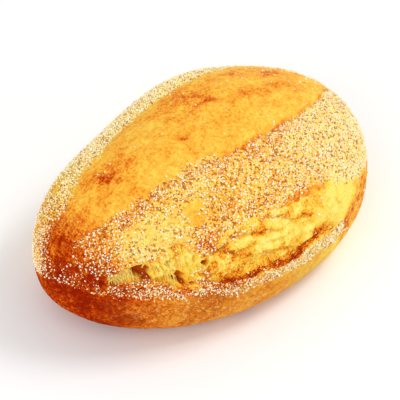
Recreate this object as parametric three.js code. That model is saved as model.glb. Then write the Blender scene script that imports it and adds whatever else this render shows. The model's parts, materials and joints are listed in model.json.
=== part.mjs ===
// A scored, semolina-dusted bread roll, baked as one piece and so one solid.
//
// Millimetres, +Z up. X runs along the roll and the torn side faces -Y. The origin is the middle of
// the flat underside, under the middle of the roll's bounding box.
//
// The body is a rounded loaf shape with a flat foot. Its two scars are given by edges that run along
// the roll: the wide score on top, where the skin opened and swelled, and the burst along the front,
// where the side tore open during baking. A place on the skin is named by its x and its skin angle,
// which goes round the roll: 0 on the front, 90 on top, 180 on the back and -90 or 270 underneath.
import * as THREE from "three";

// ---- Driving dimensions ----

const LENGTH = 130;
const WIDTH = 86.4; // at mid-length; the fuller end is wider
const HEIGHT = 55.6;
const BELT_HEIGHT = 21; // height of the widest level

const ROUNDNESS_ABOVE = 2.32; // exponent of the profile above the belt; 2 is an ellipse, more is fuller
const ROUNDNESS_BELOW = 3.3; // the same below the belt
const UNDERCUT = 1.16; // how far the lower half would reach below the belt, in belt heights
const FOOT_BLEND = 2.2; // how gently the side turns into the flat foot
const END_TAPER = 0.15; // how much fuller the +X end is than the -X end
const BOW = 0.038; // sideways bow of the whole roll
const BOW_CENTRE = 0.35; // keeps the bow's middle and its two ends on either side of the axis
const TWIST = 0.118; // S-shaped sideways lean

const CORE_HEIGHT = 20; // the line inside the roll that the skin swells and sinks from
const CORE_HALF_LENGTH = 32;
const MM_PER_DEGREE = 0.66; // length on the skin of one degree of skin angle

const BACK_WAVE = 0.95; // height of the slow waves along the upper back
const BACK_WAVE_LENGTH = 60; // from crest to crest
const BACK_WAVE_CREST = 10; // x of one crest
const BACK_WAVE_ANGLE = 130; // skin angle where the waves are strongest
const BACK_WAVE_SPREAD = 28; // degrees over which they die away

const SCORE_SWELL = 0.9; // how far the opened skin stands above the body
const SCORE_FULLNESS = 0.6; // exponent of the swelling's cross-section; less is flatter on top
const SCORE_GROOVE = 0.9; // depth of the crease along the score's edges
const SCORE_GROOVE_WIDTH = 4.4;
const SCORE_FADE = 15; // length over which the score dies out at each end

const BURST_DEPTH = 4.4; // deepest part of the tear
const BURST_SHALLOW_DEPTH = 2; // depth towards the +X end
const BURST_DEEP_UNTIL = -20; // x where the tear starts to get shallower
const BURST_SHALLOW_FROM = 6; // x where it has become shallow
const BURST_FULLNESS = 0.8; // exponent of the tear's cross-section; less has steeper walls
const BURST_LIP = 0.7; // rise of the skin along the tear
const BURST_LIP_WIDTH = 5;
const BURST_FADE = 8; // length over which the tear dies out at each end

const STATIONS = 88; // mesh steps along the roll, closer together towards its ends
const FOOT_ANGLE = 28; // half the angle that the flat foot takes up underneath
const SMALLEST_GAP = 7; // degrees kept between mesh rows where a scar has closed
const WIDEST_REACH = 1.5; // a bound on the distance from the axis, in half-widths
const HALVINGS = 40; // halvings of that bound when a skin point is searched for

// ---- Edges of the scars: [x, skin angle] along the roll ----

const SCORE_FRONT_EDGE = [
  [-59, 87], [-57, 75], [-50, 71.5], [-31, 70.5], [-10, 72],
  [8, 71], [24, 72], [36, 74.5], [46, 79], [59, 94],
];
const SCORE_BACK_EDGE = [
  [-59, 91], [-57, 100], [-50, 106], [-39, 118], [-28, 122], [-8, 123.5],
  [10, 122], [26, 125], [40, 130], [59, 102],
];
const BURST_UPPER_EDGE = [
  [-56, 25], [-52, 33], [-45, 38.5], [-33, 43], [-26, 34.5], [-18, 32], [-5, 36.5],
  [8, 36.5], [20, 35], [28, 33], [34, 26], [40, 15],
];
const BURST_LOWER_EDGE = [
  [-56, 22], [-50, 22], [-43, 21.5], [-35, 13], [-29, 8.5], [-17, 8.5], [-3, 7],
  [8, 6], [20, 6], [30, 5], [35, 6], [40, 11],
];

// ---- Small helpers ----

const radians = THREE.MathUtils.degToRad;
const smoothstep = THREE.MathUtils.smoothstep;
const lerp = THREE.MathUtils.lerp;

// 1 in the middle of a ridge or groove and 0 past its width.
const bump = (distance, width) => 1 - smoothstep(Math.abs(distance), 0, width);

// 0 at the two edges of a scar and outside it, 1 halfway between them.
const crossSection = (share, fullness) =>
  share > 0 && share < 1 ? (4 * share * (1 - share)) ** fullness : 0;

// The larger of z and 0, with the corner between them rounded; exactly 0 well below the floor.
function onFoot(z) {
  if (z > FOOT_BLEND) return z;
  if (z < -FOOT_BLEND) return 0;
  return (z + FOOT_BLEND) ** 2 / (4 * FOOT_BLEND);
}

// Smooth curve through an edge's points, as a function of x.
function edgeCurve(points) {
  const slopes = points.map((p, i) => {
    const a = points[Math.max(i - 1, 0)];
    const b = points[Math.min(i + 1, points.length - 1)];
    return (b[1] - a[1]) / (b[0] - a[0]);
  });
  return (x) => {
    const at = THREE.MathUtils.clamp(x, points[0][0], points.at(-1)[0]);
    let i = 0;
    while (i < points.length - 2 && at > points[i + 1][0]) i += 1;
    const [x0, y0] = points[i];
    const [x1, y1] = points[i + 1];
    const span = x1 - x0;
    const t = (at - x0) / span;
    const bend = (1 - t) * (slopes[i] * span - (y1 - y0)) - t * (slopes[i + 1] * span - (y1 - y0));
    return y0 + t * (y1 - y0) + t * (1 - t) * bend;
  };
}

// Fades a scar out over its last millimetres at each end.
function endFade(x, edge, fade) {
  const start = edge[0][0];
  const end = edge.at(-1)[0];
  return smoothstep(x, start, start + fade) * (1 - smoothstep(x, end - fade, end));
}

const scoreFront = edgeCurve(SCORE_FRONT_EDGE);
const scoreBack = edgeCurve(SCORE_BACK_EDGE);
const burstUpper = edgeCurve(BURST_UPPER_EDGE);
const burstLower = edgeCurve(BURST_LOWER_EDGE);

// ---- The body before it was scored and burst ----

// How far the round body reaches from its axis, `along` the roll and in the direction of the angle.
function reach(along, across, up, roundness) {
  let inside = 0;
  let outside = WIDEST_REACH;
  for (let i = 0; i < HALVINGS; i += 1) {
    const middle = (inside + outside) / 2;
    const level = Math.hypot(along, middle * across);
    const size = level ** roundness + Math.abs(middle * up) ** roundness;
    if (size < 1) inside = middle;
    else outside = middle;
  }
  return inside;
}

function bodyPoint(x, angle) {
  const along = x / (LENGTH / 2);
  const roundness = Math.sin(radians(angle)) > 0 ? ROUNDNESS_ABOVE : ROUNDNESS_BELOW;
  const out = reach(along, Math.cos(radians(angle)), Math.sin(radians(angle)), roundness);
  const across = -Math.cos(radians(angle)) * out;
  const up = Math.sin(radians(angle)) * out;
  const lean = BOW * (along ** 2 - BOW_CENTRE) + TWIST * along * (1 - along ** 2);
  const z = up > 0 ? BELT_HEIGHT + (HEIGHT - BELT_HEIGHT) * up : BELT_HEIGHT * (1 + UNDERCUT * up);
  return new THREE.Vector3(x, (WIDTH / 2) * (across * (1 + END_TAPER * along) + lean), onFoot(z));
}

// Direction in which the skin swells: straight away from the core line.
function outward(p) {
  const nearest = THREE.MathUtils.clamp(p.x, -CORE_HALF_LENGTH, CORE_HALF_LENGTH);
  return p.clone().sub(new THREE.Vector3(nearest, 0, CORE_HEIGHT)).normalize();
}

// ---- The waves and scars, as a height above or below the body ----

function waveHeight(x, angle) {
  const strength = Math.exp(-(((angle - BACK_WAVE_ANGLE) / BACK_WAVE_SPREAD) ** 2));
  return BACK_WAVE * strength * Math.cos((2 * Math.PI * (x - BACK_WAVE_CREST)) / BACK_WAVE_LENGTH);
}

function scoreHeight(x, angle) {
  const front = scoreFront(x);
  const back = scoreBack(x);
  const swell = crossSection((angle - front) / (back - front), SCORE_FULLNESS);
  const frontGroove = bump((angle - front) * MM_PER_DEGREE, SCORE_GROOVE_WIDTH);
  const backGroove = bump((angle - back) * MM_PER_DEGREE, SCORE_GROOVE_WIDTH);
  const height = SCORE_SWELL * swell - SCORE_GROOVE * Math.max(frontGroove, backGroove);
  return height * endFade(x, SCORE_FRONT_EDGE, SCORE_FADE);
}

function burstHeight(x, angle) {
  const upper = burstUpper(x);
  const lower = burstLower(x);
  const shallow = smoothstep(x, BURST_DEEP_UNTIL, BURST_SHALLOW_FROM);
  const depth = lerp(BURST_DEPTH, BURST_SHALLOW_DEPTH, shallow);
  const hollow = crossSection((angle - lower) / (upper - lower), BURST_FULLNESS);
  const upperLip = bump((angle - upper) * MM_PER_DEGREE, BURST_LIP_WIDTH);
  const lowerLip = bump((angle - lower) * MM_PER_DEGREE, BURST_LIP_WIDTH);
  const height = BURST_LIP * Math.max(upperLip, lowerLip) * (1 - hollow) - depth * hollow;
  return height * endFade(x, BURST_UPPER_EDGE, BURST_FADE);
}

// ---- Mesh: rings round the roll, closed by a point at each end ----

// The skin angles of one ring. Rows follow the edges of the scars, so that the edges stay crisp.
// Each band is [its first angle, its number of rows].
function ringAngles(x) {
  const lower = burstLower(x);
  const upper = Math.max(burstUpper(x), lower + SMALLEST_GAP);
  const front = scoreFront(x);
  const back = Math.max(scoreBack(x), front + SMALLEST_GAP);
  const bands = [
    [-90, 2],
    [-90 + FOOT_ANGLE, 11],
    [lower, 10],
    [upper, 8],
    [front, 11],
    [back, 15],
    [270 - FOOT_ANGLE, 2],
    [270, 0],
  ];
  const angles = [];
  for (let band = 0; band < bands.length - 1; band += 1) {
    const [start, rows] = bands[band];
    const end = bands[band + 1][0];
    for (let row = 0; row < rows; row += 1) angles.push(lerp(start, end, row / rows));
  }
  return angles;
}

function skinPoint(x, angle) {
  const p = bodyPoint(x, angle);
  if (p.z === 0) return p;
  const height = waveHeight(x, angle) + scoreHeight(x, angle) + burstHeight(x, angle);
  p.addScaledVector(outward(p), height);
  p.z = Math.max(p.z, 0);
  return p;
}

function rollGeometry() {
  const points = [];
  let rows = 0;
  for (let station = 1; station < STATIONS; station += 1) {
    const x = (-LENGTH / 2) * Math.cos((Math.PI * station) / STATIONS);
    const ring = ringAngles(x).map((angle) => skinPoint(x, angle));
    rows = ring.length;
    points.push(...ring);
  }
  const leftEnd = points.push(bodyPoint(-LENGTH / 2, 0)) - 1;
  const rightEnd = points.push(bodyPoint(LENGTH / 2, 0)) - 1;
  const rings = STATIONS - 1;
  const at = (ring, row) => ring * rows + (row % rows);
  const faces = [];
  for (let row = 0; row < rows; row += 1) {
    faces.push(leftEnd, at(0, row), at(0, row + 1));
    faces.push(rightEnd, at(rings - 1, row + 1), at(rings - 1, row));
    for (let ring = 0; ring < rings - 1; ring += 1) {
      faces.push(at(ring, row), at(ring + 1, row), at(ring + 1, row + 1));
      faces.push(at(ring, row), at(ring + 1, row + 1), at(ring, row + 1));
    }
  }
  const geometry = new THREE.BufferGeometry().setFromPoints(points).setIndex(faces);
  geometry.computeBoundingBox();
  const middle = geometry.boundingBox.getCenter(new THREE.Vector3());
  geometry.translate(-middle.x, -middle.y, 0);
  geometry.computeVertexNormals();
  return geometry;
}

const crust = new THREE.MeshStandardMaterial({ color: 0xd9963a, roughness: 0.75, metalness: 0 });

const breadRoll = new THREE.Mesh(rollGeometry(), crust);
breadRoll.name = "bread_roll";

const model = new THREE.Group();
model.add(breadRoll);

export default model;
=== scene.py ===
"""Builds the finished look of a scored, semolina-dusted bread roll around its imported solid.

Lengths are in millimetres until a mesh is written. X runs along the roll and the torn side faces -Y.
A place on the skin is named by its x and its skin angle, which goes round the roll: 0 on the front,
90 on top, 180 on the back and -90 or 270 underneath.
"""

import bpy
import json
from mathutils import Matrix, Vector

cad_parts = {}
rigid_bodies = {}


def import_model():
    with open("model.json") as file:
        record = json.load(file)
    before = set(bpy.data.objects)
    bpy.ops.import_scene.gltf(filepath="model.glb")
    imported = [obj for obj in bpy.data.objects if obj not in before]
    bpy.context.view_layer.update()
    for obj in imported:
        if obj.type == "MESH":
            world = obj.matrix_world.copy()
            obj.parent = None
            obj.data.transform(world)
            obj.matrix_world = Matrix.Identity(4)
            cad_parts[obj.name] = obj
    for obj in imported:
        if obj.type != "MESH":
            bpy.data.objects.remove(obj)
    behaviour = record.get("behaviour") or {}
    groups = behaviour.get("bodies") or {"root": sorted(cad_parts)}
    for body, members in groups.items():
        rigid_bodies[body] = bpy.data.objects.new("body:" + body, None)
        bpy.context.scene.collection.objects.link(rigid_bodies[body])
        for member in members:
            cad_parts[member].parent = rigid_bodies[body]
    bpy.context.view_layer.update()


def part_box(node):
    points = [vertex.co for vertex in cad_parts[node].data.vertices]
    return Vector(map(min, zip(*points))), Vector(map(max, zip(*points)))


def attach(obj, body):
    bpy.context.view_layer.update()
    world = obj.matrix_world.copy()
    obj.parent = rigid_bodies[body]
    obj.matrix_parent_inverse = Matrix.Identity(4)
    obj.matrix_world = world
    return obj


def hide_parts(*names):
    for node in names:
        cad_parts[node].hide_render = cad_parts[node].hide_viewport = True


bl_info = {
    "name": "Scored Bread Roll",
    "version": (1, 0, 0),
    "blender": (4, 5, 0),
    "location": "View3D > Sidebar > Bread Roll",
    "description": "Crust, torn crumb and semolina of a scored bread roll",
    "category": "Add Mesh",
}

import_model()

import json
import math

import bmesh
import bpy
import numpy as np
from mathutils import Vector

MM = 0.001

# ---- The body: a rounded loaf with a flat foot ----

LENGTH, WIDTH, HEIGHT = 130.0, 86.4, 55.6
BELT_HEIGHT = 21.0
ROUNDNESS_ABOVE, ROUNDNESS_BELOW = 2.32, 3.3
UNDERCUT = 1.16
FOOT_BLEND = 2.2
END_TAPER = 0.15
BOW, BOW_CENTRE = 0.038, 0.35
TWIST = 0.118
CORE_HEIGHT, CORE_HALF_LENGTH = 20.0, 32.0
DEGREE_LENGTH = 0.66  # length on the skin of one degree, at mid-length

BACK_WAVE, BACK_WAVE_LENGTH, BACK_WAVE_CREST = 0.95, 60.0, 10.0
BACK_WAVE_ANGLE, BACK_WAVE_SPREAD = 130.0, 28.0

# ---- Edges of the two scars: (x, skin angle) ----

SCORE_FRONT = [
    (-59, 87), (-57, 75), (-50, 71.5), (-31, 70.5), (-10, 72),
    (8, 71), (24, 72), (36, 74.5), (46, 79), (59, 94),
]
SCORE_BACK = [
    (-59, 91), (-57, 100), (-50, 106), (-39, 118), (-28, 122), (-8, 123.5),
    (10, 122), (26, 125), (40, 130), (59, 102),
]
BURST_UPPER = [
    (-56, 25), (-52, 32), (-49, 37.6), (-45.7, 39), (-41, 37), (-37, 38.3), (-33, 43.5), (-29.5, 42),
    (-27, 35), (-24.5, 30), (-21, 31.5), (-18, 34.5), (-15, 37), (-9.6, 38), (-5, 38.8), (1, 38.8),
    (7.5, 37.5), (14, 36), (20, 34.5), (26, 32), (31, 25.5), (35, 16),
]
BURST_LOWER = [
    (-56, 21), (-51.5, 22), (-47, 21.6), (-41, 19.8), (-37.5, 16.6), (-34, 13), (-30, 11.4), (-26, 12.0),
    (-21, 10.5), (-15.5, 7.2), (-8, 6.6), (-2, 5.8), (4, 4.0), (10, 3.8), (15, 5.0), (21, 5.0),
    (28, 3.5), (32, 6.5), (35, 12),
]

# Sections of the torn skin's two lips: (distance from the edge, pull-back under the lip, height).
UPPER_LIP = [
    (-3.2, 0.0, -5.4), (-2.0, 0.3, -5.0), (-1.2, 1.9, -3.6), (-0.9, 2.1, -2.2), (-0.65, 1.7, -1.1),
    (-0.45, 0.7, -0.35), (-0.25, -0.2, 0.2), (0.0, -0.7, 0.62), (0.5, -0.7, 0.85), (1.2, -0.4, 0.9),
    (2.4, -0.1, 0.7), (4.2, 0.0, 0.35), (6.5, 0.0, 0.08),
]
LOWER_LIP = [
    (-5.5, 0.0, 0.05), (-3.4, 0.0, 0.25), (-1.9, 0.0, 0.5), (-0.9, 0.1, 0.62), (-0.3, 0.2, 0.5),
    (0.1, 0.1, 0.05), (0.4, -0.2, -0.8), (0.8, -0.3, -2.2), (1.6, 0.0, -4.2), (2.6, 0.0, -5.2),
]


def smoothstep(value, low, high):
    """0 up to the low value, 1 from the high one on, and a smooth rise between them."""
    t = np.clip((value - low) / (high - low), 0, 1)
    return t * t * (3 - 2 * t)


def fall(value, low, high):
    """1 up to the low value, 0 from the high one on, and a smooth fall between them."""
    return 1 - smoothstep(value, low, high)


def bump(distance, width):
    """1 in the middle of a ridge or groove and 0 past its width."""
    return fall(np.abs(distance), 0, width)


def mix(a, b, share):
    """The value that lies a share of the way from a to b."""
    return a + (b - a) * share


def curve(points, x):
    """Smooth curve through the points, at each x."""
    px, py = np.array(points, float).T
    slopes = np.empty(len(px))
    slopes[1:-1] = (py[2:] - py[:-2]) / (px[2:] - px[:-2])
    slopes[0] = (py[1] - py[0]) / (px[1] - px[0])
    slopes[-1] = (py[-1] - py[-2]) / (px[-1] - px[-2])
    at = np.clip(x, px[0], px[-1])
    i = np.clip(np.searchsorted(px, at) - 1, 0, len(px) - 2)
    span, climb = px[i + 1] - px[i], py[i + 1] - py[i]
    t = (at - px[i]) / span
    bend = (1 - t) * (slopes[i] * span - climb) - t * (slopes[i + 1] * span - climb)
    return py[i] + t * climb + t * (1 - t) * bend


# ---- Repeatable noise ----


def lattice(i, j, k, seed):
    """A number from -1 to 1 for each corner of a whole-number grid."""
    n = (i * 73856093) ^ (j * 19349663) ^ (k * 83492791) ^ (seed * 40503)
    n = (n ^ (n >> 13)) * 1274126177 & 0xFFFFFFFF
    n = (n ^ (n >> 15)) * 668265263 & 0xFFFFFFFF
    return ((n ^ (n >> 16)) & 0xFFFF) / 32767.5 - 1


def noise(p, size, seed):
    """Smooth noise from about -1 to 1 with features of the given size, in millimetres."""
    q = p / size
    cell = np.floor(q).astype(np.int64)
    f = q - cell
    f = f * f * f * (f * (f * 6 - 15) + 10)
    total = 0
    for a in (0, 1):
        for b in (0, 1):
            for c in (0, 1):
                weight = (
                    np.abs(1 - a - f[..., 0]) * np.abs(1 - b - f[..., 1]) * np.abs(1 - c - f[..., 2])
                )
                corner = lattice(cell[..., 0] + a, cell[..., 1] + b, cell[..., 2] + c, seed)
                total += weight * corner
    return total


def fractal(p, size, seed, octaves=3):
    """Noise with added layers, each half as large and half as strong as the one before."""
    total, strength = 0, 1.0
    for octave in range(octaves):
        total += strength * noise(p, size / 2**octave, seed + octave)
        strength /= 2
    return total / 1.4


def along(x, size, seed, octaves=3):
    """Noise that depends only on x."""
    x = np.asarray(x, float)
    return fractal(np.stack([x, np.zeros_like(x) + 0.37, np.zeros_like(x) + 7.1], -1), size, seed, octaves)


def cell_walls(u, v, seed):
    """0 on the walls of a pattern of random cells and about 1 in their middles, and a number per cell."""
    iu, iv = np.floor(u).astype(np.int64), np.floor(v).astype(np.int64)
    nearest, second, tone = np.full(u.shape, 9.0), np.full(u.shape, 9.0), np.zeros(u.shape)
    for a in (-1, 0, 1):
        for b in (-1, 0, 1):
            at_u = iu + a + 0.5 + 0.42 * lattice(iu + a, iv + b, 0, seed)
            at_v = iv + b + 0.5 + 0.42 * lattice(iu + a, iv + b, 1, seed)
            r = np.hypot(u - at_u, v - at_v)
            closer = r < nearest
            second = np.where(closer, nearest, np.minimum(second, r))
            tone = np.where(closer, 0.5 + 0.5 * lattice(iu + a, iv + b, 2, seed), tone)
            nearest = np.where(closer, r, nearest)
    return smoothstep(second - nearest, 0.04, 0.5), tone


# ---- The skin chart ----


def reach(level_x, across, up, roundness):
    """How far the round body reaches from its axis in a direction."""
    inside, outside = np.zeros_like(level_x), np.full_like(level_x, 1.5)
    for _ in range(34):
        middle = (inside + outside) / 2
        size = np.hypot(level_x, middle * across) ** roundness + np.abs(middle * up) ** roundness
        fits = size < 1
        inside, outside = np.where(fits, middle, inside), np.where(fits, outside, middle)
    return inside


def body(x, angle):
    """Points of the body before it was scored and burst."""
    x, angle = np.broadcast_arrays(np.asarray(x, float), np.radians(angle))
    level_x = x / (LENGTH / 2)
    roundness = np.where(np.sin(angle) > 0, ROUNDNESS_ABOVE, ROUNDNESS_BELOW)
    out = reach(level_x, np.cos(angle), np.sin(angle), roundness)
    across, up = -np.cos(angle) * out, np.sin(angle) * out
    lean = BOW * (level_x**2 - BOW_CENTRE) + TWIST * level_x * (1 - level_x**2)
    y = WIDTH / 2 * (across * (1 + END_TAPER * level_x) + lean)
    z = np.where(up > 0, BELT_HEIGHT + (HEIGHT - BELT_HEIGHT) * up, BELT_HEIGHT * (1 + UNDERCUT * up))
    blended = (z + FOOT_BLEND) ** 2 / (4 * FOOT_BLEND)
    z = np.where(z > FOOT_BLEND, z, np.where(z < -FOOT_BLEND, 0, blended))
    return np.stack([x, y, z], -1)


def unit(vectors):
    """The same directions with a length of one."""
    return vectors / np.linalg.norm(vectors, axis=-1, keepdims=True)


def outward(p):
    """Direction in which the skin swells: straight away from the core line."""
    core = np.zeros(p.shape)
    core[..., 0] = np.clip(p[..., 0], -CORE_HALF_LENGTH, CORE_HALF_LENGTH)
    core[..., 2] = CORE_HEIGHT
    return unit(p - core)


def degree_length(x):
    """Millimetres on the skin per degree of skin angle, which shrinks towards the ends."""
    return DEGREE_LENGTH * np.maximum(1 - np.clip(np.abs(x) / (LENGTH / 2), 0, 1) ** 2.3, 0.02) ** 0.43


def ends(x, points, fade):
    """1 along a scar, fading to 0 over its last millimetres at each end."""
    start, end = points[0][0], points[-1][0]
    return smoothstep(x, start, start + fade) * fall(x, end - fade, end)


def ragged(x, seed, amount):
    """Degrees by which a torn edge wanders."""
    return amount * along(x, 7.0, seed, 4) / np.maximum(degree_length(x), 0.2)


def score_edges(x):
    """Skin angles of the front and the back edge of the score."""
    front = curve(SCORE_FRONT, x) + ragged(x, 11, 0.5)
    back = curve(SCORE_BACK, x) + ragged(x, 12, 0.6)
    return front, np.maximum(back, front + 4)


def burst_edges(x):
    """Skin angles of the lower and the upper edge of the burst."""
    lower = curve(BURST_LOWER, x) + ragged(x, 21, 0.75)
    upper = curve(BURST_UPPER, x) + ragged(x, 22, 1.5) + 0.55 * along(x, 1.7, 25, 2) / degree_length(x)
    middle = (lower + upper) / 2
    half = np.maximum((upper - lower) / 2, 3.1 / degree_length(x))
    return middle - half, middle + half


def scar_opening(x):
    """How far open the burst is: deep on the left, shallow on the right and closed at its ends."""
    return ends(x, BURST_UPPER, 7.0) * mix(1.0, 0.38, smoothstep(x, -24, -2))


def cave(x):
    """1 where the torn skin overhangs an open hollow, 0 where the crumb comes up flush."""
    return mix(0.3, 1.0, smoothstep(x, -47.8, -46.0)) * fall(x, -42.5, -40.0)


def base_height(x, angle):
    """The slow waves of the back and the swelling and creases of the score."""
    near_back = np.exp(-(((angle - BACK_WAVE_ANGLE) / BACK_WAVE_SPREAD) ** 2))
    wave = BACK_WAVE * near_back * np.cos(2 * math.pi * (x - BACK_WAVE_CREST) / BACK_WAVE_LENGTH)
    front, back = score_edges(x)
    share = np.clip((angle - front) / (back - front), 0, 1)
    swell = 0.95 * np.maximum(4 * share * (1 - share), 0) ** 0.55
    to_front = (angle - front) * degree_length(x)
    to_back = (angle - back) * degree_length(x)
    crease = 0
    for distance, strength in ((to_front, 1.0), (to_back, 0.25)):
        crease -= strength * (0.35 * bump(distance, 3.6) + 0.5 * bump(distance, 0.9))
    lip = 0.4 * bump(to_front + 1.4, 1.6) + 0.15 * bump(to_back - 1.4, 1.6)
    return wave + (swell + crease + lip) * ends(x, SCORE_FRONT, 10.0)


# ---- Mesh building ----


def add_object(name, data):
    """A new object in the scene."""
    made = bpy.data.objects.new(name, data)
    bpy.context.scene.collection.objects.link(made)
    return made


def tube(name, rings, first_end, last_end):
    """A closed mesh from rings of points, each shaped (rings, rows, 3), capped by two end points."""
    count, rows = rings.shape[:2]
    co = np.concatenate([rings.reshape(-1, 3), [first_end, last_end]]) * MM
    at = np.arange(count * rows).reshape(count, rows)
    nxt = np.roll(at, -1, axis=1)
    quads = np.stack([at[:-1], at[1:], nxt[1:], nxt[:-1]], -1).reshape(-1, 4)
    first = np.stack([np.full(rows, count * rows), at[0], nxt[0]], -1)
    last = np.stack([np.full(rows, count * rows + 1), nxt[-1], at[-1]], -1)
    mesh = bpy.data.meshes.new(name)
    mesh.vertices.add(len(co))
    mesh.vertices.foreach_set("co", co.ravel())
    loops = np.concatenate([quads.ravel(), first.ravel(), last.ravel()])
    sizes = np.concatenate([np.full(len(quads), 4), np.full(2 * rows, 3)])
    mesh.loops.add(len(loops))
    mesh.loops.foreach_set("vertex_index", loops)
    mesh.polygons.add(len(sizes))
    mesh.polygons.foreach_set("loop_start", np.concatenate([[0], np.cumsum(sizes)[:-1]]))
    mesh.update(calc_edges=True)
    mesh.validate()
    mesh.polygons.foreach_set("use_smooth", np.ones(len(sizes), bool))
    return add_object(name, mesh)


def store(piece, name, values):
    """Keeps one number for each point; the two end points repeat their neighbours."""
    flat = np.asarray(values, np.float32).ravel()
    padded = np.concatenate([flat, flat[:1], flat[-1:]])
    attribute = piece.data.attributes.new(name, "FLOAT", "POINT")
    attribute.data.foreach_set("value", padded)


def finish_piece(piece):
    """Makes the piece part of the roll's one body."""
    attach(piece, "root")
    return piece


# ---- Crust ----

FOOT_ROWS, FRONT_ROWS, BASIN_ROWS, BAND_ROWS, SCORE_ROWS, BACK_ROWS = 12, 22, 5, 42, 60, 66
STATIONS = 400
FOOT_ANGLE = 28.0  # the foot's rows reach this many degrees up from underneath, on both sides

# A short fold of the skin at the left end of the score: (skin angle, x).
WRINKLE = [(68, -60.2), (77, -62.0), (88, -61.9)]


def stations(count):
    """Places along the roll, closer together towards the ends."""
    t = (np.arange(count) + 0.5) / count
    return -LENGTH / 2 * np.cos(math.pi * t)


def crust_rows(x):
    """Skin angle and torn height of every point of every ring, shaped (stations, rows)."""
    lower, upper = burst_edges(x)
    front, back = score_edges(x)
    opening = ends(x, BURST_UPPER, 7.0)
    left = fall(x, -26, -10)
    overhang = opening * cave(x)
    lip_share = opening * mix(0.12, mix(0.25, 1.0, cave(x)), left)
    basin_share = opening * mix(0.42, 1.0, left)
    scale = 1 / np.maximum(degree_length(x), 0.16)
    squeeze = np.clip((upper - lower) / 2 / scale / 3.4, 0, 1)
    angles, heights = [], []

    def torn(height):
        return height * (basin_share if height < -1 else lip_share)

    def add(a, h=0.0):
        angles.append(a)
        heights.append(h + 0 * x)

    def fill(start, end, rows, low=0.0, high=0.0):
        for r in range(rows):
            add(mix(start, end, r / rows), mix(low, high, r / rows))

    fill(-90 + 0 * x, -90 + FOOT_ANGLE + 0 * x, FOOT_ROWS)
    first_low = lower + LOWER_LIP[0][0] * scale
    fill(-90 + FOOT_ANGLE + 0 * x, first_low, FRONT_ROWS)
    for offset, pull, height in LOWER_LIP:
        inner = np.where(offset > 0, squeeze, 1.0)
        add(lower + (offset * inner + pull * overhang) * scale, torn(height))
    last_low = angles[-1]
    first_up = upper + UPPER_LIP[0][0] * squeeze * scale
    fill(last_low, first_up, BASIN_ROWS, heights[-1], torn(UPPER_LIP[0][2]))
    for offset, pull, height in UPPER_LIP:
        inner = np.where(offset < 0, squeeze, 1.0)
        add(upper + (offset * inner + pull * overhang) * scale, torn(height))
    last_up = np.minimum(angles[-1], front - 2)
    fill(mix(last_up, front, 1 / BAND_ROWS), front, BAND_ROWS)
    fill(front, back, SCORE_ROWS)
    fill(back, 270 - FOOT_ANGLE + 0 * x, BACK_ROWS)
    fill(270 - FOOT_ANGLE + 0 * x, 270 + 0 * x, FOOT_ROWS)
    return np.stack(angles, 1), np.stack(heights, 1)


def wrinkle(x, angle):
    """1 on the crest of the short fold and 0 beside it."""
    line = curve(WRINKLE, angle)
    return np.exp(-(((x - line) / 0.45) ** 2)) * bump(angle - 78, 13)


def skin_texture(p, x, angle):
    """Lumps and fine roughness of the baked skin."""
    front, back = score_edges(x)
    inside = smoothstep(angle, front, front + 3) * fall(angle, back - 3, back)
    lumps = 0.28 * fractal(p, 15.0, 31) + 0.14 * fractal(p, 5.0, 35)
    rough = mix(0.10, 0.05, inside) * fractal(p, 1.9, 39, 2)
    return lumps + rough + 0.5 * wrinkle(x, angle)


def patch(x, angle, at_x, at_angle, half_x, half_angle):
    """A soft oval spot, 1 in its middle."""
    r = np.hypot((x - at_x) / half_x, (angle - at_angle) / half_angle)
    return fall(r, 0.45, 1.0)


def cloud(x, angle, at_x, at_angle, half_x, half_angle):
    """A wide, very soft spot."""
    r = np.hypot((x - at_x) / half_x, (angle - at_angle) / half_angle)
    return np.exp(-1.6 * r * r)


# Browner and paler clouds of the score: (x, skin angle, half-length, half-angle, browning).
SCORE_PATCHES = [
    (-36, 97, 9, 9, 0.46), (-44, 101, 7, 6, 0.26), (-56, 91, 4, 6, 0.08), (-52, 94, 3, 4, 0.08),
    (2, 111, 9, 9, 0.28), (10, 105, 8, 7, 0.22), (-9, 113, 7, 6, 0.18), (-6.7, 90.4, 4.5, 2.6, 0.34),
    (-26, 106, 4, 4, 0.24), (-30, 97, 4, 4, 0.16), (40, 95, 7, 6, 0.16), (38, 109, 13, 8, 0.22),
    (29, 94, 6, 5, 0.18), (22, 98, 5, 5, 0.16), (27, 114, 12, 5, 0.18), (13, 90, 4, 2, 0.16),
    (-20, 82, 12, 6, -0.08), (-20, 99, 6, 5, -0.06), (2.6, 84, 10, 5, -0.05), (-46, 86, 12, 9, 0.06),
    (24, 82, 10, 5, -0.06), (50, 96, 6, 8, -0.06),
]

# Small dark dots: (x, skin angle, browning).
DARK_DOTS = [
    (29.3, 33.3, 0.5), (32.6, 29.1, 0.45), (24.5, 36.0, 0.4), (27.2, 34.8, 0.35), (35.0, 27.0, 0.35),
    (20.4, 40.5, 0.4), (38.6, 33.0, 0.35),
]

# Where the semolina stops above the bare right end of the tear: (x, skin angle).
RIGHT_LIMIT = [
    (8, 37.0), (14, 38.6), (20, 38.2), (25, 38.0), (29.3, 35.2), (34.6, 31.9), (38.5, 28.5), (44, 23.8),
    (49, 22.2), (65, 24.0),
]

# Where the semolina stops on the front side: (x, skin angle).
DUST_LIMIT = [
    (-65, 28), (-61, 17), (-57, 13), (-48, 10.0), (-34, 4.6), (-24, 2.2), (-16, -2.0),
    (6, -3.5), (16, -5.5), (30, -12.0), (45, -16), (65, -18),
]

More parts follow.
